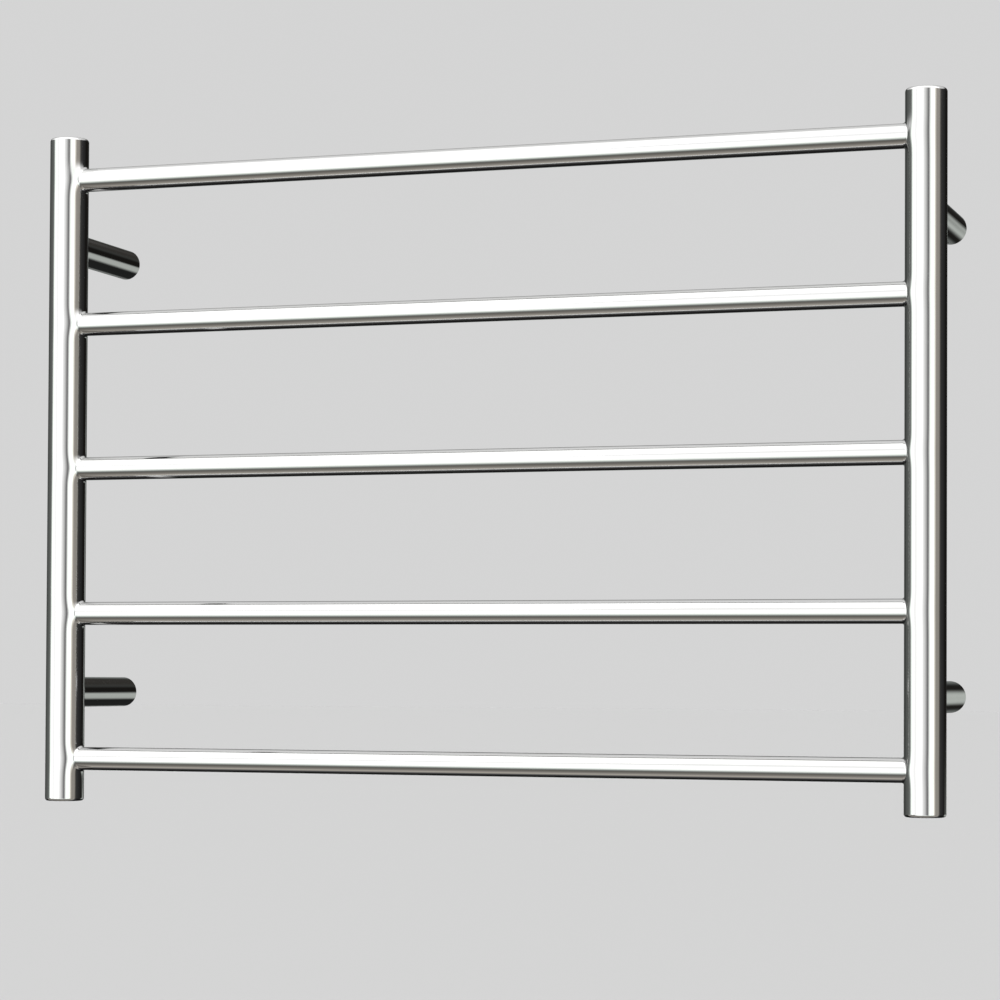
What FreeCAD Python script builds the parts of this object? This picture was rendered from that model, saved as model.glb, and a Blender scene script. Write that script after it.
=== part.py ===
import FreeCAD, Part

import math
import os

import Sketcher

# Wall-mounted electric towel rail, in millimetres.
# X runs along the bars to the right, Y points into the wall, Z is up.
# The origin lies on the wall, midway between the four screw holes, level with the middle bar.

V = FreeCAD.Vector
doc = FreeCAD.newDocument("towel_rail")

# ---------------------------------------------------------------- driving dimensions

DRIVING_DIMENSIONS = [
    ("rail_height", 550.0, "length of each post"),
    ("post_spacing", 718.0, "between post axes"),
    ("post_diameter", 32.0, ""),
    ("post_wall", 1.5, ""),
    ("post_edge", 2.4, "rounding of the post ends"),
    ("wall_distance", 110.0, "post axis to wall"),
    ("bar_count", 5, ""),
    ("bar_pitch", 120.0, "between neighbouring bars"),
    ("bar_diameter", 19.0, ""),
    ("bar_wall", 1.2, ""),
    ("bar_entry", 10.5, "bar end to post axis"),
    ("weld_gap", 0.03, "gap bridged by each weld"),
    ("cap_thickness", 3.0, "disc in each post end"),
    ("leg_spacing", 370.0, "height between upper and lower legs"),
    ("leg_diameter", 25.0, ""),
    ("leg_end_gap", 0.6, "leg end to wall"),
    ("leg_end_edge", 0.5, "rounding of the leg's wall end"),
    ("socket_diameter", 21.0, "bore that takes the wall spigot"),
    ("socket_depth", 30.0, ""),
    ("wire_bore", 10.0, "bore along the wiring leg"),
    ("spigot_gap", 0.05, "radial gap of a spigot in its leg"),
    ("spigot_length", 26.0, ""),
    ("spigot_cup", 13.0, "inner diameter of the hollow spigot"),
    ("spigot_base", 6.0, "thickness of the spigot's base"),
    ("spigot_edge", 0.8, "lead-in chamfer"),
    ("groove_width", 4.4, "groove under the spigot for the grub screw"),
    ("groove_depth", 2.0, ""),
    ("screw_hole", 5.4, "wall screw's clearance hole in the spigot's base"),
    ("slot_width", 5.6, "wire slot in the wiring spigot"),
    ("slot_floor", 5.0, "slot floor to spigot axis"),
    ("grommet_gap", 0.05, "grommet to slot"),
    ("grommet_top", 9.9, "grommet top to spigot axis"),
    ("grommet_bore", 3.6, ""),
    ("grub_to_wall", 12.0, "grub screw axis to wall"),
    ("grub_diameter", 4.0, ""),
    ("grub_gap", 0.04, "radial play of the thread"),
    ("grub_length", 3.9, ""),
    ("grub_tip", 1.0, "radius of the flat tip"),
    ("grub_cone", 0.9, "length of the tip's cone"),
    ("grub_hexagon", 2.0, "socket across flats"),
    ("grub_hexagon_depth", 1.8, ""),
    ("cable_diameter", 5.0, "silicone heating cable"),
    ("cable_bend", 36.0, "bend radius inside the posts"),
    ("cable_offset", 9.5, "cable in a post to the post axis"),
    ("cable_start", -152.0, "height of the cable's spliced end"),
    ("cable_end", -300.0, "sideways place of the cable's sealed end"),
    ("splice_diameter", 10.0, "closed-end splice"),
    ("splice_length", 26.0, ""),
    ("splice_offset", 7.0, "splice to post axis"),
    ("seal_diameter", 7.0, "sleeve on the cable's end"),
    ("seal_length", 22.0, ""),
    ("seal_overlap", 10.0, "cable inside the sleeve"),
    ("cutout_diameter", 4.0, "thermal cut-out"),
    ("cutout_length", 11.0, ""),
    ("cutout_offset", 3.0, "cut-out to post axis"),
    ("cutout_lead", 4.5, "length of each lead"),
    ("cutout_lead_radius", 0.4, ""),
    ("earth_stud_diameter", 4.0, "welded on a bottom cap"),
    ("earth_stud_length", 9.0, ""),
    ("earth_lug_radius", 4.5, ""),
    ("earth_lug_thickness", 0.8, ""),
    ("earth_lug_neck", 4.2, "stud axis to the crimp barrel's near end"),
    ("earth_lug_barrel", 10.0, "stud axis to the crimp barrel's far end"),
    ("earth_nut", 7.0, "across flats"),
    ("earth_nut_height", 3.2, ""),
]

sheet = doc.addObject("Spreadsheet::Sheet", "Dimensions")
for row, (alias, value, note) in enumerate(DRIVING_DIMENSIONS, start=1):
    sheet.set(f"A{row}", alias)
    sheet.set(f"B{row}", str(value))
    sheet.setAlias(f"B{row}", alias)
    sheet.set(f"C{row}", note)
doc.recompute()

HALF_SPACING = "Dimensions.post_spacing / 2"
HALF_LEGS = "Dimensions.leg_spacing / 2"
TOP_BAR = "Dimensions.bar_pitch * (Dimensions.bar_count - 1) / 2"
POST_BORE = "(Dimensions.post_diameter / 2 - Dimensions.post_wall)"
SPIGOT_RADIUS = "(Dimensions.socket_diameter / 2 - Dimensions.spigot_gap)"

SIDES = [("left", -1), ("right", 1)]
LEVELS = [("upper", 1), ("lower", -1)]

subparts = []


# ---------------------------------------------------------------- shared helpers

def value(formula):
    """The number that a formula on the sheet gives."""
    return float(sheet.evalExpression(formula.replace("Dimensions.", "")))


def new_body(label):
    body = doc.addObject("PartDesign::Body", label)
    body.Label = label
    subparts.append(body)
    return body


def put(item, x="0", y="0", z="0"):
    """Binds an object's place to formulas on the sheet."""
    for axis, formula in (("x", x), ("y", y), ("z", z)):
        if formula != "0":
            item.setExpression(f"Placement.Base.{axis}", formula)


def new_sketch(body, name, role):
    sketch = body.newObject("Sketcher::SketchObject", name)
    plane = next(f for f in body.Origin.OriginFeatures if f.Role == role)
    sketch.AttachmentSupport = (plane, [""])
    sketch.MapMode = "FlatFace"
    return sketch


def dimension(sketch, name, formula, kind, *places):
    index = sketch.addConstraint(Sketcher.Constraint(kind, *places, value(formula)))
    sketch.renameConstraint(index, name)
    sketch.setExpression(f"Constraints.{name}", formula)


def circle(sketch, name, radius, height="0"):
    """A circle whose centre is on the sketch's vertical axis."""
    edge = sketch.addGeometry(Part.Circle(V(0, value(height), 0), V(0, 0, 1), value(radius)))
    if height == "0":
        sketch.addConstraint(Sketcher.Constraint("Coincident", edge, 3, -1, 1))
    else:
        sketch.addConstraint(Sketcher.Constraint("PointOnObject", edge, 3, -2))
        dimension(sketch, f"{name}_height", height, "DistanceY", -1, 1, edge, 3)
    dimension(sketch, f"{name}_radius", radius, "Radius", edge)


def outline(sketch, corners, closed=True):
    """Straight lines through corners, each a pair of formulas. An open outline lacks its last side."""
    points = [V(value(across), value(up), 0) for across, up in corners]
    ends = points[1:] + points[:1] if closed else points[1:]
    lines = [sketch.addGeometry(Part.LineSegment(a, b)) for a, b in zip(points, ends)]
    followers = lines[1:] + lines[:1] if closed else lines[1:]
    for line, following in zip(lines, followers):
        sketch.addConstraint(Sketcher.Constraint("Coincident", line, 2, following, 1))
    places = [(line, 1) for line in lines]
    if not closed:
        places.append((lines[-1], 2))
    for number, (place, (across, up)) in enumerate(zip(places, corners), start=1):
        for kind, formula, axis in (("DistanceX", across, -2), ("DistanceY", up, -1)):
            if formula == "0":
                sketch.addConstraint(Sketcher.Constraint("PointOnObject", *place, axis))
            else:
                dimension(sketch, f"{kind[-1].lower()}{number}", formula, kind, -1, 1, *place)
    return lines


def rectangle(sketch, half_width, low, high):
    left = f"-({half_width})"
    outline(sketch, [(left, low), (half_width, low), (half_width, high), (left, high)])


def hexagon(sketch, across_flats):
    half = f"{across_flats} / 2"
    corner = f"{across_flats} / sqrt(3)"
    outline(sketch, [
        (half, f"-{corner} / 2"), (half, f"{corner} / 2"), ("0", corner),
        (f"-{half}", f"{corner} / 2"), (f"-{half}", f"-{corner} / 2"), ("0", f"-{corner}"),
    ])


def pad(body, sketch, length, both_ways=False, reverse=False):
    feature = body.newObject("PartDesign::Pad", f"{sketch.Name}_pad")
    feature.Profile = sketch
    feature.Midplane = both_ways
    feature.Reversed = reverse
    feature.setExpression("Length", length)
    doc.recompute()
    return feature


def pocket(body, sketch, length, both_ways=False, reverse=False):
    before = body.Tip.Shape.Volume
    feature = body.newObject("PartDesign::Pocket", f"{sketch.Name}_pocket")
    feature.Profile = sketch
    feature.Midplane = both_ways
    feature.Reversed = reverse
    feature.setExpression("Length", length)
    doc.recompute()
    if feature.Shape.Volume > before - 0.5:
        raise RuntimeError(f"{feature.Name} cuts nothing")
    return feature


def revolve(body, sketch, kind="Revolution"):
    """Turns an outline about the sketch's vertical axis; a Groove takes its metal away."""
    feature = body.newObject(f"PartDesign::{kind}", f"{sketch.Name}_turned")
    feature.Profile = sketch
    feature.ReferenceAxis = (sketch, ["V_Axis"])
    feature.Angle = 360
    doc.recompute()
    return feature


def round_circles(body, radius, places, edge_radius):
    """Rounds the body's circular edges that have this radius and lie at one of the places."""
    base = body.Tip
    names = []
    for number, edge in enumerate(base.Shape.Edges, start=1):
        curve = edge.Curve
        if not isinstance(curve, Part.Circle) or abs(curve.Radius - radius) > 1e-6:
            continue
        if any((curve.Center - place).Length < 1e-6 for place in places):
            names.append(f"Edge{number}")
    feature = body.newObject("PartDesign::Fillet", f"{body.Label}_rounding")
    feature.Base = (base, names)
    feature.setExpression("Radius", edge_radius)
    doc.recompute()
    return feature


# ---------------------------------------------------------------- posts, bars and caps

def round_rim(body, name, end, sign):
    """Rounds the rim of a post's end. The rounding is wider than the wall, so it runs on over the cap."""
    outside = "Dimensions.post_diameter / 2"
    inside = f"{outside} - Dimensions.post_edge"
    beyond = f"{outside} + Dimensions.post_edge"
    start = f"{end} - {sign} * Dimensions.post_edge"
    clear = f"{end} + {sign} * Dimensions.post_edge"
    rim = new_sketch(body, name, "XZ_Plane")
    lines = outline(rim, [(outside, start), (beyond, start), (beyond, clear), (inside, clear), (inside, end)],
                    closed=False)
    whole = Part.Circle(V(value(inside), value(start), 0), V(0, 0, 1), value("Dimensions.post_edge"))
    first_angle = 0 if sign > 0 else -math.pi / 2
    arc = rim.addGeometry(Part.ArcOfCircle(whole, first_angle, first_angle + math.pi / 2))
    side_end, face_end = (1, 2) if sign > 0 else (2, 1)
    rim.addConstraint(Sketcher.Constraint("Coincident", arc, side_end, lines[0], 1))
    rim.addConstraint(Sketcher.Constraint("Coincident", arc, face_end, lines[-1], 2))
    dimension(rim, "rounding", "Dimensions.post_edge", "Radius", arc)
    revolve(body, rim, "Groove")


def make_post(side, sign, has_wire_hole):
    body = new_body(f"{side}_post")
    ring = new_sketch(body, f"{side}_post_section", "XY_Plane")
    circle(ring, "outer", "Dimensions.post_diameter / 2")
    circle(ring, "inner", POST_BORE)
    pad(body, ring, "Dimensions.rail_height", both_ways=True)
    for level, level_sign in (("top", 1), ("bottom", -1)):
        round_rim(body, f"{side}_post_{level}_rim", f"{level_sign} * Dimensions.rail_height / 2", level_sign)
    hole = new_sketch(body, f"{side}_post_bar_hole", "YZ_Plane")
    circle(hole, "hole", "Dimensions.bar_diameter / 2 + Dimensions.weld_gap", TOP_BAR)
    first_hole = pocket(body, hole, "Dimensions.post_diameter", reverse=sign < 0)
    row = body.newObject("PartDesign::LinearPattern", f"{side}_post_bar_holes")
    row.Originals = [first_hole]
    row.Direction = (hole, ["V_Axis"])
    row.Reversed = True
    row.setExpression("Length", f"2 * {TOP_BAR}")
    row.setExpression("Occurrences", "Dimensions.bar_count")
    body.Tip = row
    doc.recompute()
    if has_wire_hole:
        wire_hole = new_sketch(body, f"{side}_post_wire_hole", "XZ_Plane")
        circle(wire_hole, "hole", "Dimensions.wire_bore / 2", f"-{HALF_LEGS}")
        pocket(body, wire_hole, "Dimensions.post_diameter")
    put(body, f"{sign} * {HALF_SPACING}", "-Dimensions.wall_distance")


def make_bar(number):
    body = new_body(f"bar_{number}")
    ring = new_sketch(body, f"bar_{number}_section", "YZ_Plane")
    circle(ring, "outer", "Dimensions.bar_diameter / 2")
    circle(ring, "inner", "Dimensions.bar_diameter / 2 - Dimensions.bar_wall")
    pad(body, ring, "Dimensions.post_spacing - 2 * Dimensions.bar_entry", both_ways=True)
    put(body, "0", "-Dimensions.wall_distance", f"{TOP_BAR} - {number - 1} * Dimensions.bar_pitch")


def make_cap(level, level_sign, side, side_sign):
    """A flat disc set flush into a post's end."""
    body = new_body(f"{level}_cap_{side}")
    disc = new_sketch(body, f"{level}_cap_{side}_disc", "XY_Plane")
    circle(disc, "disc", f"{POST_BORE} - Dimensions.weld_gap")
    pad(body, disc, "Dimensions.cap_thickness", reverse=level_sign > 0)
    round_rim(body, f"{level}_cap_{side}_rim", "0", level_sign)
    end = f"{level_sign} * Dimensions.rail_height / 2"
    put(body, f"{side_sign} * {HALF_SPACING}", "-Dimensions.wall_distance", end)


for side, sign in SIDES:
    make_post(side, sign, has_wire_hole=side == "right")
for number in range(1, int(value("Dimensions.bar_count")) + 1):
    make_bar(number)
for level, level_sign in (("top", 1), ("bottom", -1)):
    for side, side_sign in SIDES:
        make_cap(level, level_sign, side, side_sign)


# ---------------------------------------------------------------- legs and their grub screws

def make_leg(level, side, x, z, is_wired):
    """A round leg: coped onto its post, bored at the wall end for the spigot."""
    label = f"{level}_{side}_leg"
    body = new_body(label)
    reach = "(Dimensions.wall_distance - Dimensions.leg_end_gap)"
    section = new_sketch(body, f"{label}_section", "XZ_Plane")
    circle(section, "outer", "Dimensions.leg_diameter / 2")
    pad(body, section, reach)
    rim = [V(0, 0, 0)]
    round_circles(body, value("Dimensions.leg_diameter / 2"), rim, "Dimensions.leg_end_edge")
    cope = new_sketch(body, f"{label}_cope", "XY_Plane")
    circle(cope, "post", "Dimensions.post_diameter / 2 + Dimensions.weld_gap", f"-{reach}")
    pocket(body, cope, "2 * Dimensions.leg_diameter", both_ways=True)
    socket = new_sketch(body, f"{label}_socket", "XZ_Plane")
    circle(socket, "socket", "Dimensions.socket_diameter / 2")
    pocket(body, socket, "Dimensions.socket_depth - Dimensions.leg_end_gap", reverse=True)
    if is_wired:
        bore = new_sketch(body, f"{label}_wire_bore", "XZ_Plane")
        circle(bore, "bore", "Dimensions.wire_bore / 2")
        pocket(body, bore, reach, reverse=True)
    tapping = new_sketch(body, f"{label}_grub_hole", "XY_Plane")
    along = "-(Dimensions.grub_to_wall - Dimensions.leg_end_gap)"
    circle(tapping, "hole", "Dimensions.grub_diameter / 2", along)
    pocket(body, tapping, "Dimensions.leg_diameter")
    put(body, x, "-Dimensions.leg_end_gap", z)


def make_grub_screw(level, side, x, z):
    """Stands upright under the leg; its flat tip meets the floor of the spigot's groove."""
    label = f"{level}_{side}_grub_screw"
    body = new_body(label)
    radius = "Dimensions.grub_diameter / 2 - Dimensions.grub_gap"
    shoulder = "Dimensions.grub_length - Dimensions.grub_cone"
    profile = new_sketch(body, f"{label}_profile", "XZ_Plane")
    outline(profile, [
        ("0", "0"), (radius, "0"), (radius, shoulder),
        ("Dimensions.grub_tip", "Dimensions.grub_length"), ("0", "Dimensions.grub_length"),
    ])
    revolve(body, profile)
    key = new_sketch(body, f"{label}_hexagon", "XY_Plane")
    hexagon(key, "Dimensions.grub_hexagon")
    pocket(body, key, "Dimensions.grub_hexagon_depth", reverse=True)
    groove_floor = f"({SPIGOT_RADIUS} - Dimensions.groove_depth)"
    tip = f"{z} - {groove_floor} - Dimensions.spigot_gap"
    put(body, x, "-Dimensions.grub_to_wall", f"{tip} - Dimensions.grub_length")


# ---------------------------------------------------------------- wall spigots

def make_spigot(level, side, x, z, is_wired):
    """A hollow turned spigot whose base has a hole for the wall screw."""
    label = f"{level}_{side}_spigot"
    body = new_body(label)
    length = "Dimensions.spigot_length"
    inner = "Dimensions.spigot_cup / 2"
    hole = "Dimensions.screw_hole / 2"
    profile = new_sketch(body, f"{label}_profile", "XY_Plane")
    outline(profile, [
        (hole, "0"), (SPIGOT_RADIUS, "0"), (SPIGOT_RADIUS, f"-({length} - Dimensions.spigot_edge)"),
        (f"{SPIGOT_RADIUS} - Dimensions.spigot_edge", f"-{length}"), (inner, f"-{length}"),
        (inner, "-Dimensions.spigot_base"), (hole, "-Dimensions.spigot_base"),
    ])
    revolve(body, profile)
    groove = new_sketch(body, f"{label}_groove", "XZ_Plane")
    groove_floor = f"-({SPIGOT_RADIUS} - Dimensions.groove_depth)"
    rectangle(groove, "Dimensions.groove_width / 2", "-Dimensions.socket_diameter", groove_floor)
    pocket(body, groove, length, reverse=True)
    if is_wired:
        slot = new_sketch(body, f"{label}_slot", "XZ_Plane")
        rectangle(slot, "Dimensions.slot_width / 2", "Dimensions.slot_floor", "Dimensions.socket_diameter")
        pocket(body, slot, length, reverse=True)
    put(body, x, "0", z)


def make_wire_grommet(x, z):
    """Rubber bush in the wiring spigot's slot."""
    body = new_body("wire_grommet")
    low = "(Dimensions.slot_floor + Dimensions.grommet_gap)"
    section = new_sketch(body, "wire_grommet_section", "XZ_Plane")
    rectangle(section, "Dimensions.slot_width / 2 - Dimensions.grommet_gap", low, "Dimensions.grommet_top")
    circle(section, "bore", "Dimensions.grommet_bore / 2", f"({low} + Dimensions.grommet_top) / 2")
    pad(body, section, "Dimensions.spigot_base")
    put(body, x, "0", z)


for level, level_sign in LEVELS:
    for side, side_sign in SIDES:
        leg_x = f"{side_sign} * {HALF_SPACING}"
        leg_z = f"{level_sign} * {HALF_LEGS}"
        is_wired = (level, side) == ("lower", "right")
        make_leg(level, side, leg_x, leg_z, is_wired)
        make_grub_screw(level, side, leg_x, leg_z)
        make_spigot(level, side, leg_x, leg_z, is_wired)
        if is_wired:
            make_wire_grommet(leg_x, leg_z)


# ---------------------------------------------------------------- heating cable and its ends

def cable_corners():
    """The cable's route: down the right post, then bar by bar up to the top one."""
    reach = value(f"{HALF_SPACING} + Dimensions.cable_offset")
    depth = -value("Dimensions.wall_distance")
    side = 1
    corners = [V(reach, depth, value("Dimensions.cable_start"))]
    for step in range(int(value("Dimensions.bar_count"))):
        height = value(f"{step} * Dimensions.bar_pitch - {TOP_BAR}")
        corners.append(V(side * reach, depth, height))
        side = -side
        corners.append(V(side * reach, depth, height))
    corners[-1].x = value("Dimensions.cable_end")
    return corners


def rounded_path(corners, radius):
    """Straight runs joined by quarter arcs of one radius."""
    edges = []
    start = corners[0]
    for before, corner, after in zip(corners, corners[1:], corners[2:]):
        inward = (before - corner).normalize()
        outward = (after - corner).normalize()
        arc_start = corner + inward * radius
        arc_end = corner + outward * radius
        arc_middle = corner + (inward + outward) * radius * (1 - math.sqrt(0.5))
        edges.append(Part.LineSegment(start, arc_start).toShape())
        edges.append(Part.Arc(arc_start, arc_middle, arc_end).toShape())
        start = arc_end
    edges.append(Part.LineSegment(start, corners[-1]).toShape())
    return Part.Wire(edges)


def make_heating_cable():
    corners = cable_corners()
    radius = value("Dimensions.cable_diameter / 2")
    bend = value("Dimensions.cable_bend")
    path = rounded_path(corners, bend)
    section = Part.Wire(Part.makeCircle(radius, corners[0], corners[1] - corners[0]))
    cable = doc.addObject("Part::Feature", "heating_cable")
    cable.Label = "heating_cable"
    cable.Shape = path.makePipeShell([section], True, False)
    cable.Placement = FreeCAD.Placement()
    subparts.append(cable)
    expected = path.Length * math.pi * radius ** 2
    if abs(cable.Shape.Volume - expected) > 0.001 * expected:
        raise RuntimeError("the heating cable's volume is not its section times its length")
    print(f"heating cable: {path.Length:.0f} mm long, every bend {bend:.0f} mm in radius")


def make_cable_end_seal():
    """Closed silicone sleeve over the cable's far end, inside the top bar."""
    body = new_body("cable_end_seal")
    section = new_sketch(body, "cable_end_seal_section", "YZ_Plane")
    circle(section, "outer", "Dimensions.seal_diameter / 2")
    pad(body, section, "Dimensions.seal_length")
    mouth = new_sketch(body, "cable_end_seal_mouth", "YZ_Plane")
    mouth.setExpression("AttachmentOffset.Base.z", "Dimensions.seal_length")
    circle(mouth, "mouth", "Dimensions.cable_diameter / 2")
    pocket(body, mouth, "Dimensions.seal_overlap")
    closed_end = "Dimensions.cable_end - (Dimensions.seal_length - Dimensions.seal_overlap)"
    put(body, closed_end, "-Dimensions.wall_distance", TOP_BAR)


def make_wire_splice():
    """Closed-end splice that joins the cable and the cut-out to the supply wires."""
    body = new_body("wire_splice")
    section = new_sketch(body, "wire_splice_section", "XY_Plane")
    circle(section, "outer", "Dimensions.splice_diameter / 2")
    pad(body, section, "Dimensions.splice_length")
    x = f"{HALF_SPACING} + Dimensions.splice_offset"
    put(body, x, "-Dimensions.wall_distance", "Dimensions.cable_start")


def make_thermal_cutout():
    """Capsule with a lead at each end; the upper lead runs into the splice."""
    body = new_body("thermal_cutout")
    lead = "Dimensions.cutout_lead_radius"
    radius = "Dimensions.cutout_diameter / 2"
    body_top = "-Dimensions.cutout_lead"
    body_bottom = "-(Dimensions.cutout_lead + Dimensions.cutout_length)"
    lead_end = "-(2 * Dimensions.cutout_lead + Dimensions.cutout_length)"
    profile = new_sketch(body, "thermal_cutout_profile", "XZ_Plane")
    outline(profile, [
        ("0", "0"), ("0", lead_end), (lead, lead_end), (lead, body_bottom),
        (radius, body_bottom), (radius, body_top), (lead, body_top), (lead, "0"),
    ])
    revolve(body, profile)
    x = f"{HALF_SPACING} + Dimensions.cutout_offset"
    put(body, x, "-Dimensions.wall_distance", "Dimensions.cable_start")


make_heating_cable()
make_cable_end_seal()
make_wire_splice()
make_thermal_cutout()


# ---------------------------------------------------------------- earthing on the right bottom cap

def put_on_bottom_cap(body, height="0"):
    base = "Dimensions.cap_thickness - Dimensions.rail_height / 2"
    put(body, HALF_SPACING, "-Dimensions.wall_distance", f"{base} + {height}")


def make_earth_stud():
    body = new_body("earth_stud")
    section = new_sketch(body, "earth_stud_section", "XY_Plane")
    circle(section, "stud", "Dimensions.earth_stud_diameter / 2")
    pad(body, section, "Dimensions.earth_stud_length")
    put_on_bottom_cap(body)


def make_earth_lug():
    """Ring terminal with a short crimp barrel towards the wire hole."""
    body = new_body("earth_lug")
    ring = new_sketch(body, "earth_lug_ring", "XY_Plane")
    circle(ring, "outer", "Dimensions.earth_lug_radius")
    pad(body, ring, "Dimensions.earth_lug_thickness")
    barrel = new_sketch(body, "earth_lug_barrel", "XY_Plane")
    half_width = "Dimensions.earth_lug_radius / 3"
    rectangle(barrel, half_width, "Dimensions.earth_lug_neck", "Dimensions.earth_lug_barrel")
    pad(body, barrel, "3 * Dimensions.earth_lug_thickness")
    hole = new_sketch(body, "earth_lug_hole", "XY_Plane")
    circle(hole, "hole", "Dimensions.earth_stud_diameter / 2 + Dimensions.weld_gap")
    pocket(body, hole, "4 * Dimensions.earth_lug_thickness", reverse=True)
    put_on_bottom_cap(body)


def make_earth_nut():
    body = new_body("earth_nut")
    section = new_sketch(body, "earth_nut_section", "XY_Plane")
    hexagon(section, "Dimensions.earth_nut")
    circle(section, "bore", "Dimensions.earth_stud_diameter / 2 + Dimensions.weld_gap")
    pad(body, section, "Dimensions.earth_nut_height")
    put_on_bottom_cap(body, "Dimensions.earth_lug_thickness")


make_earth_stud()
make_earth_lug()
make_earth_nut()


# ---------------------------------------------------------------- check and write

doc.recompute()
for item in doc.Objects:
    if "Invalid" in item.State or "Error" in item.State:
        raise RuntimeError(f"{item.Label} did not recompute: {item.State}")
for subpart in subparts:
    if subpart.Shape.isNull() or not subpart.Shape.isValid():
        raise RuntimeError(f"{subpart.Label} has no valid shape")

os.makedirs("parts", exist_ok=True)
for subpart in subparts:
    subpart.Shape.exportStep(f"parts/{subpart.Label}.step")
print(f"{len(subparts)} sub-parts written")
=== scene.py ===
import math

import bpy
from mathutils import Matrix, Quaternion, Vector


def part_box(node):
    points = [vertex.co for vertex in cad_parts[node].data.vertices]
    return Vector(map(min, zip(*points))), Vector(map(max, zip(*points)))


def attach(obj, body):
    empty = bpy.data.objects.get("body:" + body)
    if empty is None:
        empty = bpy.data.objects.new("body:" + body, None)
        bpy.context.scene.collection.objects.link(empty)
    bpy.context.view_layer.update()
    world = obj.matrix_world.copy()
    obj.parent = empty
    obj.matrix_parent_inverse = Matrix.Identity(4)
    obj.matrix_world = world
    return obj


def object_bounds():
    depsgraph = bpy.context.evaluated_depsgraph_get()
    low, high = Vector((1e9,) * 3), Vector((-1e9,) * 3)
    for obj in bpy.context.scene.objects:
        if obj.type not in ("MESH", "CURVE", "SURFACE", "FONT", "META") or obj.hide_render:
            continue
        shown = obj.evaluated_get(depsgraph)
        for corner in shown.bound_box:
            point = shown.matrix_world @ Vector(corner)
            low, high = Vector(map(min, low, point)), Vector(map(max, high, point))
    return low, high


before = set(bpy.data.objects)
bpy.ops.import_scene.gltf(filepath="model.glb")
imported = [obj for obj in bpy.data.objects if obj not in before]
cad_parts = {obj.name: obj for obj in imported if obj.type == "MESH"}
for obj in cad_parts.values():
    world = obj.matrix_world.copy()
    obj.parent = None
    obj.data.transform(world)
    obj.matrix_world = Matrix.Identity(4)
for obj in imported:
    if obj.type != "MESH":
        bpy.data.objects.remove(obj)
cad_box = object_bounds()

# ---------------------------------------------------------------- camera

CAMERA_PLACE = Vector((0.7538, -2.2895, -0.1742))
CAMERA_YAW = math.radians(18.312)
CAMERA_PITCH = math.radians(1.249)
CAMERA_ROLL = math.radians(0.288)
CAMERA_SENSOR = 36.0
CAMERA_LENS = 104.9
CAMERA_SHIFT = (-0.0136, 0.1176)
CAMERA_REACH = 1000.0


def make_camera():
    data = bpy.data.cameras.new("camera")
    data.sensor_width = CAMERA_SENSOR
    data.lens = CAMERA_LENS
    data.shift_x, data.shift_y = CAMERA_SHIFT
    data.clip_end = CAMERA_REACH
    camera = bpy.data.objects.new("camera", data)
    turn = Matrix.Rotation(CAMERA_YAW, 4, "Z")
    tilt = Matrix.Rotation(math.pi / 2 + CAMERA_PITCH, 4, "X")
    roll = Matrix.Rotation(CAMERA_ROLL, 4, "Z")
    camera.matrix_world = Matrix.Translation(CAMERA_PLACE) @ turn @ tilt @ roll
    bpy.context.scene.collection.objects.link(camera)
    bpy.context.scene.camera = camera


# ---------------------------------------------------------------- node trees

# The mix node's colour sockets share their names with its other sockets, so they are taken by place.
MIX_FACTOR = 0
MIX_LOW = 6
MIX_HIGH = 7
MIX_RESULT = 2


class Tree:
    """Short way to add and join shader nodes."""

    def __init__(self, node_tree):
        self.tree = node_tree
        self.tree.nodes.clear()

    def add(self, kind, inputs=None, **settings):
        node = self.tree.nodes.new(kind)
        for name, setting in settings.items():
            setattr(node, name, setting)
        for name, source in (inputs or {}).items():
            if isinstance(source, bpy.types.NodeSocket):
                self.tree.links.new(source, node.inputs[name])
            else:
                node.inputs[name].default_value = source
        return node

    def math(self, operation, first, second=0.0, third=0.0):
        node = self.add("ShaderNodeMath", {0: first, 1: second, 2: third}, operation=operation)
        return node.outputs[0]

    def blend(self, factor, low, high):
        """A colour between low and high."""
        sockets = {MIX_FACTOR: factor, MIX_LOW: low, MIX_HIGH: high}
        return self.add("ShaderNodeMix", sockets, data_type="RGBA").outputs[MIX_RESULT]

    def smooth_step(self, value, low, high):
        """0 at low and below, rising smoothly to 1 at high and above."""
        return self.add("ShaderNodeMapRange", {
            "Value": value, "From Min": low, "From Max": high,
        }, interpolation_type="SMOOTHSTEP").outputs[0]

    def band(self, value, low, high, soft):
        """1 between low and high, falling smoothly to 0 over the soft distance at each end."""
        rise = self.smooth_step(value, low - soft / 2, low + soft / 2)
        fall = self.add("ShaderNodeMapRange", {
            "Value": value, "From Min": high - soft / 2, "From Max": high + soft / 2,
            "To Min": 1.0, "To Max": 0.0,
        }, interpolation_type="SMOOTHSTEP").outputs[0]
        return self.math("MULTIPLY", rise, fall)


def grey(level):
    return (level, level, level, 1.0)


def new_material(name):
    material = bpy.data.materials.new(name)
    material.use_nodes = True
    return material, Tree(material.node_tree)


def finish_material(t, inputs):
    shader = t.add("ShaderNodeBsdfPrincipled", inputs)
    t.add("ShaderNodeOutputMaterial", {"Surface": shader.outputs[0]})


# ---------------------------------------------------------------- studio

# The camera sees a plain backdrop and a pale floor of the same brightness, far below the rail.
BACKDROP = grey(0.662)
FLOOR_BELOW = 2.8
FLOOR_HALF_SIZE = 300.0
FLOOR_COLOUR = grey(0.56)
FLOOR_ROUGHNESS = 0.9

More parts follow.
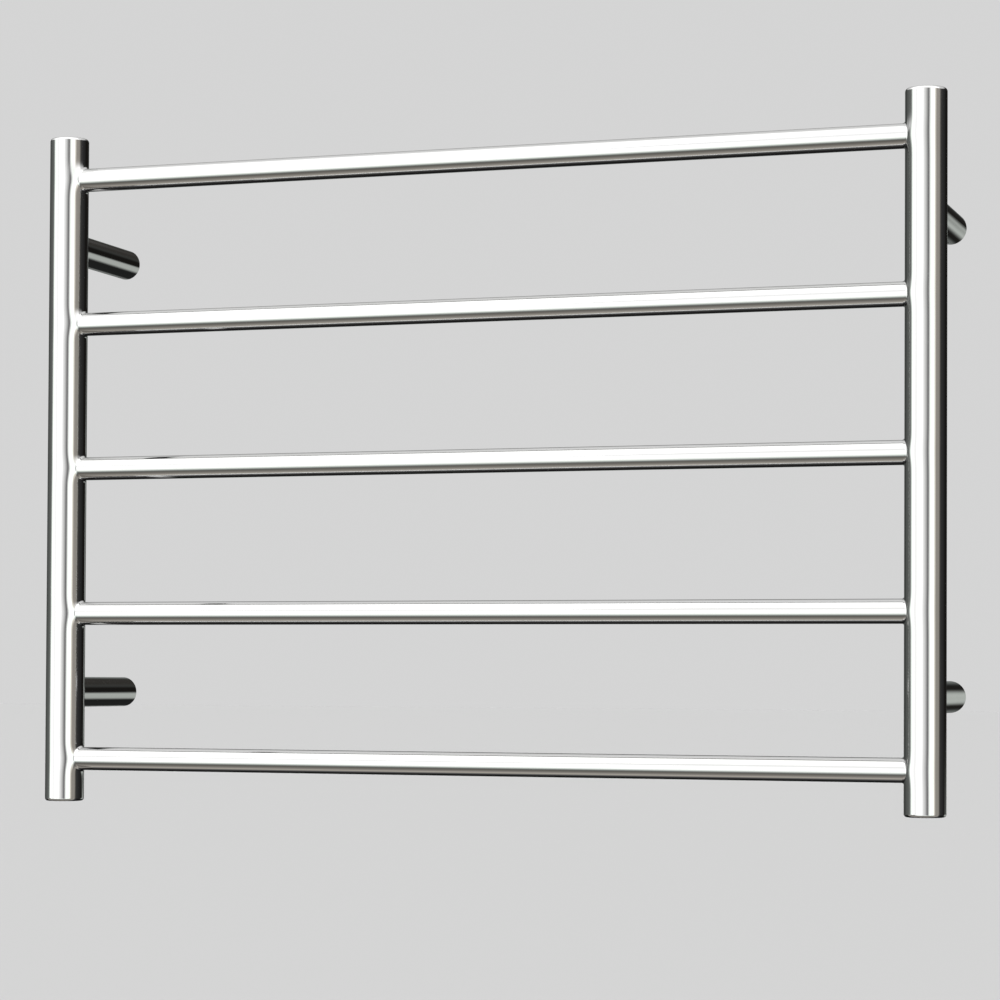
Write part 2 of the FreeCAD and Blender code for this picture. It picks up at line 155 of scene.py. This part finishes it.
# What the polished steel mirrors. Azimuth 0 is the room side (-Y) and grows to the right (+X); the wall side
# is 180. Pitch turns from the room's horizon (0) up over the ceiling (90) to the wall side (180), and down
# over the floor (-90). Every stop is an angle in degrees, a brightness and a tint.
WHITE = (1.0, 1.0, 1.0)
COOL = (0.96, 1.02, 0.97)
WARM = (1.07, 1.0, 0.90)
HORIZON = [
    (-180, 0.02, COOL),
    (-172, 0.16, COOL),
    (-158, 0.24, COOL),
    (-146, 0.08, COOL),
    (-128, 0.06, COOL),
    (-108, 0.12, COOL),
    (-83, 0.16, COOL),
    (-76, 0.38, COOL),
    (-68, 1.45, COOL),
    (-60, 1.70, WHITE),
    (-42, 1.34, WHITE),
    (-32, 1.65, WHITE),
    (-8, 1.55, WHITE),
    (3, 1.05, WHITE),
    (12, 0.70, WHITE),
    (18, 0.40, WHITE),
    (22, 0.21, WHITE),
    (25, 0.21, WHITE),
    (30, 0.85, WHITE),
    (36, 1.60, COOL),
    (55, 1.70, COOL),
    (62, 0.90, WARM),
    (69, 0.36, WARM),
    (87, 0.34, WARM),
    (94, 0.10, WARM),
    (101, 0.042, WHITE),
    (124, 0.026, WHITE),
    (142, 0.010, WARM),
    (180, 0.014, WARM),
]
OVERHEAD = [
    (0, 1.60, WHITE),
    (14, 1.20, WHITE),
    (29, 1.25, WHITE),
    (39, 1.70, WHITE),
    (88, 1.70, WHITE),
    (100, 1.00, WHITE),
    (118, 0.85, WHITE),
    (138, 0.75, WHITE),
    (154, 0.035, WARM),
    (164, 0.08, COOL),
    (180, 0.10, COOL),
]
UNDERFOOT = [
    (-180, 0.010, WHITE),
    (-150, 0.018, COOL),
    (-130, 0.010, WHITE),
    (-108, 0.05, WHITE),
    (-99, 0.17, WHITE),
    (-91, 0.40, WARM),
    (-82, 0.50, WARM),
    (-73, 0.33, WARM),
    (-60, 0.22, WARM),
    (-49, 0.15, WARM),
    (-39, 0.22, COOL),
    (-31, 0.70, COOL),
    (-22, 1.30, COOL),
    (-14, 1.60, WHITE),
]
# Elevations between which the ring at the horizon gives way to the ceiling's and to the floor's.
CEILING_BLEND = (11, 24)
FLOOR_BLEND = (11, 20)

# The pale patches of wall that the legs mirror: lowest and highest azimuth, then elevation. Their edges fade
# over so many degrees, across and upwards.
WALL_PATCHES = [
    ((142, 168), (-21, -4)),
    ((166, 174), (-9, 6)),
]
WALL_PATCH_SOFTNESS = (5, 7)
WALL_PATCH_LIGHT = (0.50, 0.53, 0.50, 1.0)
FULL_TURN = 360.0

KEY_PLACE = Vector((-1.6, -2.6, 2.3))
KEY_SIZE = 1.8
KEY_POWER = 10.0


def ring_of_light(t, angle, stops):
    """A smooth ramp of light round a full turn, from -180 to 180 degrees."""
    turn = t.math("MULTIPLY_ADD", angle, 1.0 / FULL_TURN, 0.5)
    ramp = t.add("ShaderNodeValToRGB", {0: turn})
    ramp.color_ramp.interpolation = "EASE"
    points = ramp.color_ramp.elements
    while len(points) > 1:
        points.remove(points[-1])
    for count, (degrees, brightness, tint) in enumerate(stops):
        place = 0.5 + degrees / FULL_TURN
        point = points[0] if count == 0 else points.new(place)
        point.position = place
        point.color = (*(brightness * part for part in tint), 1.0)
    return ramp.outputs[0]


def make_world():
    world = bpy.data.worlds.new("studio")
    bpy.context.scene.world = world
    world.use_nodes = True
    t = Tree(world.node_tree)
    direction = t.add("ShaderNodeTexCoord").outputs["Generated"]
    x, y, z = t.add("ShaderNodeSeparateXYZ", {0: direction}).outputs
    toward_room = t.math("MULTIPLY", y, -1.0)
    azimuth = t.math("DEGREES", t.math("ARCTAN2", x, toward_room))
    pitch = t.math("DEGREES", t.math("ARCTAN2", z, toward_room))
    elevation = t.math("DEGREES", t.math("ARCSINE", z))
    light = ring_of_light(t, azimuth, HORIZON)
    high = t.smooth_step(elevation, *CEILING_BLEND)
    light = t.blend(high, light, ring_of_light(t, pitch, OVERHEAD))
    low = t.smooth_step(t.math("MULTIPLY", elevation, -1.0), *FLOOR_BLEND)
    light = t.blend(low, light, ring_of_light(t, pitch, UNDERFOOT))
    soft_across, soft_upwards = WALL_PATCH_SOFTNESS
    for azimuths, elevations in WALL_PATCHES:
        across = t.band(azimuth, *azimuths, soft_across)
        upwards = t.band(elevation, *elevations, soft_upwards)
        light = t.blend(t.math("MULTIPLY", across, upwards), light, WALL_PATCH_LIGHT)
    camera_ray = t.add("ShaderNodeLightPath").outputs["Is Camera Ray"]
    seen = t.blend(camera_ray, light, BACKDROP)
    background = t.add("ShaderNodeBackground", {"Color": seen, "Strength": 1.0})
    t.add("ShaderNodeOutputWorld", {"Surface": background.outputs[0]})


def make_key_light():
    data = bpy.data.lights.new("key_softbox", "AREA")
    data.shape = "SQUARE"
    data.size = KEY_SIZE
    data.energy = KEY_POWER
    light = bpy.data.objects.new("key_softbox", data)
    light.location = KEY_PLACE
    light.rotation_euler = KEY_PLACE.to_track_quat("Z", "Y").to_euler()
    bpy.context.scene.collection.objects.link(light)


def make_floor():
    half = FLOOR_HALF_SIZE
    height = cad_box[0].z - FLOOR_BELOW
    mesh = bpy.data.meshes.new("floor")
    corners = [(-half, -half, height), (half, -half, height), (half, half, height), (-half, half, height)]
    mesh.from_pydata(corners, [], [(0, 1, 2, 3)])
    floor = bpy.data.objects.new("floor", mesh)
    bpy.context.scene.collection.objects.link(floor)
    material, t = new_material("pale_floor")
    finish_material(t, {"Base Color": FLOOR_COLOUR, "Roughness": FLOOR_ROUGHNESS})
    mesh.materials.append(material)
    floor.visible_glossy = False


# ---------------------------------------------------------------- sizes read from the CAD frame


def centre_of(node):
    low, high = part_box(node)
    return (low + high) / 2


def size_of(node):
    low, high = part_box(node)
    return high - low


# Both posts stand at this Y, and equally far to either side of X = 0.
POST_PLACE = centre_of("right_post")
POST_RADIUS = size_of("right_post").x / 2
BARS = sorted(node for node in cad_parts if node.startswith("bar_"))
BAR_RADIUS = size_of(BARS[0]).z / 2
BAR_PITCH = centre_of(BARS[0]).z - centre_of(BARS[1]).z
LEGS = sorted(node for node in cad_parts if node.endswith("_leg"))
LEG_RADIUS = size_of(LEGS[0]).z / 2

# ---------------------------------------------------------------- materials

# Scales are in repeats per metre. Most of a noise's values lie in its middle.
NOISE_MIDDLE = (0.3, 0.7)

# Polishing lines are long along a tube and fine across it, and gather in bands some lines wide.
LINE_ALONG = 9.0
LINE_ACROSS = 1900.0
LINES_IN_BAND = 5
LINE_DEPTH = 0.000004
LINE_STRENGTH = 0.5
DARK_BAND_BLUE = 0.985
SMUDGE_SCALE = 34.0
SMUDGE_ROUGHNESS = 0.035

# Dried drops are thin rings. DROP_RING is a ring's inner and outer radius, as a part of the drops' spacing.
DROP_SCALE = 150.0
DROP_RING = (0.20, 0.27)
DROP_RING_SOFTNESS = 0.08
DROP_PATCH_SCALE = 21.0
DROP_PATCH_RANGE = (0.58, 0.68)
DROP_ROUGHNESS = 0.06
DROP_STRENGTH = 0.10
DROP_COLOUR = (0.80, 0.80, 0.78, 1.0)

# Around each bar the post's polished metal stands a little proud, and fades out over its reach. Both are
# given above and below the bar, and at its two sides, where they are larger.
RAISED_HEIGHT = (0.0004, 0.0015)
RAISED_REACH = (0.0018, 0.0072)

# Moulded and drawn parts.
MOTTLE_SCALE = 180.0
WEAR_SCALE = 420.0
WEAR_RANGE = (0.60, 0.70)
WEAR_STRENGTH = 0.6
ROUGHNESS_SPREAD = 0.08


def object_place(t):
    return t.add("ShaderNodeTexCoord").outputs["Object"]


def evenly(scale):
    return (scale, scale, scale)


def noise(t, place, scales, detail):
    """Noise with its own scale along X, Y and Z."""
    stretched = t.add("ShaderNodeMapping", {"Vector": place, "Scale": scales}).outputs[0]
    return t.add("ShaderNodeTexNoise", {"Vector": stretched, "Scale": 1.0, "Detail": detail}).outputs[0]


def spread(t, value, low, high):
    """Carries the middle of a noise's range to low..high."""
    noise_low, noise_high = NOISE_MIDDLE
    return t.add("ShaderNodeMapRange", {
        "Value": value, "From Min": noise_low, "From Max": noise_high, "To Min": low, "To Max": high,
    }).outputs[0]


def bump(t, height, depth, strength=1.0, under=None):
    """A normal for relief: a height of 1 stands for the depth, in metres. It may lie over another normal."""
    inputs = {"Height": height, "Strength": strength, "Distance": depth}
    if under is not None:
        inputs["Normal"] = under
    return t.add("ShaderNodeBump", inputs).outputs[0]


def water_marks(t, place):
    """Dried drops: thin pale rings, only in patches."""
    cells = t.add("ShaderNodeTexVoronoi", {"Vector": place, "Scale": DROP_SCALE, "Randomness": 1.0})
    rings = t.band(cells.outputs["Distance"], *DROP_RING, DROP_RING_SOFTNESS)
    patches = t.smooth_step(noise(t, place, evenly(DROP_PATCH_SCALE), detail=2.0), *DROP_PATCH_RANGE)
    return t.math("MULTIPLY", rings, patches)


def raised_joints(t):
    """How far the posts' polished metal stands proud around each bar: high at the bar, gone further out.

    The bars lie at whole pitches from the frame's origin, so the height within a pitch finds the nearest."""
    x, y, z = t.add("ShaderNodeSeparateXYZ", {0: object_place(t)}).outputs
    inwards = t.math("SUBTRACT", POST_PLACE.x, t.math("ABSOLUTE", x))
    angle = t.math("ARCTAN2", t.math("SUBTRACT", y, POST_PLACE.y), inwards)
    beside = t.math("POWER", t.math("MULTIPLY", angle, POST_RADIUS), 2.0)
    over = t.math("POWER", t.math("PINGPONG", z, BAR_PITCH / 2), 2.0)
    from_axis = t.math("SQRT", t.math("ADD", beside, over))
    from_bar = t.math("MAXIMUM", t.math("SUBTRACT", from_axis, BAR_RADIUS), 0.0)
    sideways = t.math("DIVIDE", beside, t.math("ADD", beside, over))
    (height_over, height_beside), (reach_over, reach_beside) = RAISED_HEIGHT, RAISED_REACH
    height = t.math("ADD", t.math("MULTIPLY", sideways, height_beside - height_over), height_over)
    reach = t.math("ADD", t.math("MULTIPLY", sideways, reach_beside - reach_over), reach_over)
    fading = t.math("EXPONENT", t.math("MULTIPLY", t.math("DIVIDE", from_bar, reach), -1.0))
    return t.math("MULTIPLY", fading, height)


def steel(name, stretch, rough=0.05, line_rough=0.03, dark=0.66, light=0.72, coordinates=object_place,
          raised=None):
    """Stainless steel with polishing lines, soft smudges and a few dried drops.

    stretch is the lines' scale along X, Y and Z, per metre: low along a line and high across it.
    raised gives the height of any broad swelling of the surface, in metres."""
    material, t = new_material(name)
    place = coordinates(t)
    lines = noise(t, place, stretch, detail=4.0)
    bands = noise(t, place, tuple(scale / LINES_IN_BAND for scale in stretch), detail=2.0)
    smudges = noise(t, place, evenly(SMUDGE_SCALE), detail=6.0)
    drops = water_marks(t, place)
    warm_dark = (dark, dark, dark * DARK_BAND_BLUE, 1.0)
    colour = t.blend(spread(t, bands, 0.0, 1.0), warm_dark, grey(light))
    colour = t.blend(t.math("MULTIPLY", drops, DROP_STRENGTH), colour, DROP_COLOUR)
    smear = spread(t, smudges, 0.0, SMUDGE_ROUGHNESS)
    line_part = spread(t, lines, 0.0, line_rough)
    roughness = t.math("ADD", t.math("ADD", smear, line_part), t.math("MULTIPLY", drops, DROP_ROUGHNESS))
    roughness = t.math("ADD", roughness, rough)
    swelling = bump(t, raised(t), depth=1.0) if raised else None
    normal = bump(t, lines, LINE_DEPTH, LINE_STRENGTH, swelling)
    finish_material(t, {"Base Color": colour, "Metallic": 1.0, "Roughness": roughness, "Normal": normal})
    return material


def turned_place(t):
    """The distance from a post's axis stands for X, so lines across X come out as rings on the caps."""
    x, y, z = t.add("ShaderNodeSeparateXYZ", {0: object_place(t)}).outputs
    sideways = t.math("SUBTRACT", t.math("ABSOLUTE", x), POST_PLACE.x)
    inwards = t.math("SUBTRACT", y, POST_PLACE.y)
    flat = t.add("ShaderNodeCombineXYZ", {0: sideways, 1: inwards}).outputs[0]
    radius = t.add("ShaderNodeVectorMath", {0: flat}, operation="LENGTH").outputs["Value"]
    return t.add("ShaderNodeCombineXYZ", {0: radius, 1: y, 2: z}).outputs[0]


def moulded(name, dark, light, roughness, grain, depth, metallic=0.0, wear=None):
    """A moulded or drawn material: mottled colour, fine grain, and worn spots of another colour.

    grain is the fine grain's scale and depth its relief."""
    material, t = new_material(name)
    place = object_place(t)
    mottle = noise(t, place, evenly(MOTTLE_SCALE), detail=4.0)
    fine = noise(t, place, evenly(grain), detail=5.0)
    colour = t.blend(spread(t, mottle, 0.0, 1.0), (*dark, 1.0), (*light, 1.0))
    if wear is not None:
        spots = t.smooth_step(noise(t, place, evenly(WEAR_SCALE), detail=6.0), *WEAR_RANGE)
        colour = t.blend(t.math("MULTIPLY", spots, WEAR_STRENGTH), colour, (*wear, 1.0))
    rough = spread(t, fine, roughness - ROUGHNESS_SPREAD, roughness + ROUGHNESS_SPREAD)
    finish_material(t, {
        "Base Color": colour, "Metallic": metallic, "Roughness": rough, "Normal": bump(t, fine, depth),
    })
    return material


# ---------------------------------------------------------------- weld fillets

# Radius of each fillet above and below its tube, and at the tube's two sides, where the metal lies wider.
BAR_FILLET = (0.0018, 0.0026)
LEG_FILLET = (0.0015, 0.0035)
# The fillet's hidden corner lies this deep under the post's and the tube's surfaces.
FILLET_ROOT = 0.00015
STEPS_ROUND = 96
STEPS_ACROSS = 11


def fillet_section(angle, radius, fillets):
    """One section of a fillet between a post and a tube square to it.

    Its coordinates are (along the tube, sideways, up), from the point where the two axes cross. Gives the
    points from the tube's side over to the post's, the normals at those two ends, and the hidden corner."""
    side, up = math.cos(angle), math.sin(angle)
    over, beside = fillets
    fillet = over + (beside - over) * side ** 2
    ball_side = (radius + fillet) * side
    ball_along = math.sqrt((POST_RADIUS + fillet) ** 2 - ball_side ** 2)
    ball = Vector((ball_along, ball_side, (radius + fillet) * up))
    tube_normal = Vector((0.0, side, up))
    post_normal = Vector((ball_along, ball_side, 0.0)).normalized()
    turn = tube_normal.rotation_difference(post_normal)
    points = []
    for step in range(STEPS_ACROSS):
        part = Quaternion().slerp(turn, step / (STEPS_ACROSS - 1))
        points.append(ball - fillet * (part @ tube_normal))
    root_radius = radius - FILLET_ROOT
    root_side = root_radius * side
    root_along = math.sqrt((POST_RADIUS - FILLET_ROOT) ** 2 - root_side ** 2)
    root = Vector((root_along, root_side, root_radius * up))
    return points, (tube_normal, post_normal), root


def weld_fillet(name, crossing, along, radius, fillets, material):
    """A closed ring of weld metal, ground and polished smooth, where a tube meets a post."""
    up = Vector((0.0, 0.0, 1.0))
    axes = Matrix((along, up.cross(along), up)).transposed()
    row = STEPS_ACROSS + 1
    places = []
    edge_normals = {}
    for count in range(STEPS_ROUND):
        angle = math.tau * count / STEPS_ROUND
        section, (tube_normal, post_normal), root = fillet_section(angle, radius, fillets)
        edge_normals[count * row] = axes @ tube_normal
        edge_normals[count * row + STEPS_ACROSS - 1] = axes @ post_normal
        places.extend(crossing + axes @ point for point in section + [root])
    faces = []
    for count in range(STEPS_ROUND):
        here = count * row
        there = (count + 1) % STEPS_ROUND * row
        for step in range(row):
            after = (step + 1) % row
            faces.append((here + step, here + after, there + after, there + step))
    mesh = bpy.data.meshes.new(name)
    mesh.from_pydata(places, [], faces)
    mesh.shade_smooth()
    mesh.materials.append(material)
    loop_normals = []
    for face in mesh.polygons:
        hidden = any(corner % row == STEPS_ACROSS for corner in face.vertices)
        for corner in face.vertices:
            smooth = edge_normals.get(corner, mesh.vertices[corner].normal)
            loop_normals.append(face.normal.copy() if hidden else smooth.copy())
    mesh.normals_split_custom_set(loop_normals)
    piece = bpy.data.objects.new(name, mesh)
    bpy.context.scene.collection.objects.link(piece)
    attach(piece, "rail")


def make_weld_fillets():
    for side, toward_bars in (("left", 1.0), ("right", -1.0)):
        post = centre_of(side + "_post")
        for bar in BARS:
            crossing = Vector((post.x, post.y, centre_of(bar).z))
            along = Vector((toward_bars, 0.0, 0.0))
            weld_fillet(f"{bar}_{side}_weld", crossing, along, BAR_RADIUS, BAR_FILLET, STEEL_WELD)
    for leg in LEGS:
        crossing = Vector((centre_of(leg).x, POST_PLACE.y, centre_of(leg).z))
        weld_fillet(leg + "_weld", crossing, Vector((0.0, 1.0, 0.0)), LEG_RADIUS, LEG_FILLET, STEEL_WELD)


# ---------------------------------------------------------------- the object

STEEL_BAR = steel("steel_bar", (LINE_ALONG, LINE_ACROSS, LINE_ACROSS))
STEEL_LEG = steel("steel_leg", (LINE_ACROSS, LINE_ALONG, LINE_ACROSS))
STEEL_POST = steel("steel_post", (LINE_ACROSS, LINE_ACROSS, LINE_ALONG), raised=raised_joints)
STEEL_CAP = steel("steel_cap", (2600.0, 12.0, 12.0), rough=0.07, line_rough=0.06, coordinates=turned_place)
STEEL_WELD = steel("steel_weld", evenly(320.0), line_rough=0.02, raised=raised_joints)
STEEL_TURNED = steel("steel_turned", (60.0, 5200.0, 60.0), rough=0.16, line_rough=0.14, dark=0.52, light=0.62)
STEEL_SCREW = moulded(
    "steel_screw", dark=(0.30, 0.30, 0.31), light=(0.40, 0.40, 0.41),
    roughness=0.34, grain=2600.0, depth=0.00001, metallic=1.0, wear=(0.55, 0.55, 0.56),
)
RUBBER = moulded(
    "rubber_black", dark=(0.016, 0.016, 0.017), light=(0.030, 0.030, 0.031),
    roughness=0.72, grain=3200.0, depth=0.00002,
)
SILICONE = moulded(
    "silicone_red", dark=(0.33, 0.055, 0.035), light=(0.42, 0.085, 0.055),
    roughness=0.48, grain=2400.0, depth=0.00001, wear=(0.48, 0.30, 0.27),
)
NYLON = moulded(
    "nylon_white", dark=(0.70, 0.69, 0.64), light=(0.80, 0.79, 0.75),
    roughness=0.38, grain=1800.0, depth=0.000008, wear=(0.62, 0.59, 0.50),
)
CUTOUT_CASE = moulded(
    "cutout_case", dark=(0.52, 0.52, 0.50), light=(0.63, 0.62, 0.60),
    roughness=0.30, grain=2200.0, depth=0.00001, metallic=1.0, wear=(0.38, 0.36, 0.33),
)
TINNED_BRASS = moulded(
    "brass_tinned", dark=(0.60, 0.585, 0.53), light=(0.70, 0.69, 0.65),
    roughness=0.32, grain=2600.0, depth=0.00001, metallic=1.0, wear=(0.62, 0.50, 0.27),
)

# The material for every CAD node, by the end or the start of its name.
FINISHES = [
    ("bar_", STEEL_BAR),
    ("_leg", STEEL_LEG),
    ("_post", STEEL_POST),
    ("_cap_left", STEEL_CAP),
    ("_cap_right", STEEL_CAP),
    ("_spigot", STEEL_TURNED),
    ("_grub_screw", STEEL_SCREW),
    ("wire_grommet", RUBBER),
    ("heating_cable", SILICONE),
    ("cable_end_seal", SILICONE),
    ("wire_splice", NYLON),
    ("thermal_cutout", CUTOUT_CASE),
    ("earth_", TINNED_BRASS),
]


def paint_nodes():
    for node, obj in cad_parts.items():
        fits = [finish for words, finish in FINISHES if node.startswith(words) or node.endswith(words)]
        obj.data.materials.clear()
        obj.data.materials.append(fits[0])


make_camera()
make_world()
make_key_light()
make_floor()
bpy.context.scene.view_settings.view_transform = "Standard"
paint_nodes()
make_weld_fillets()
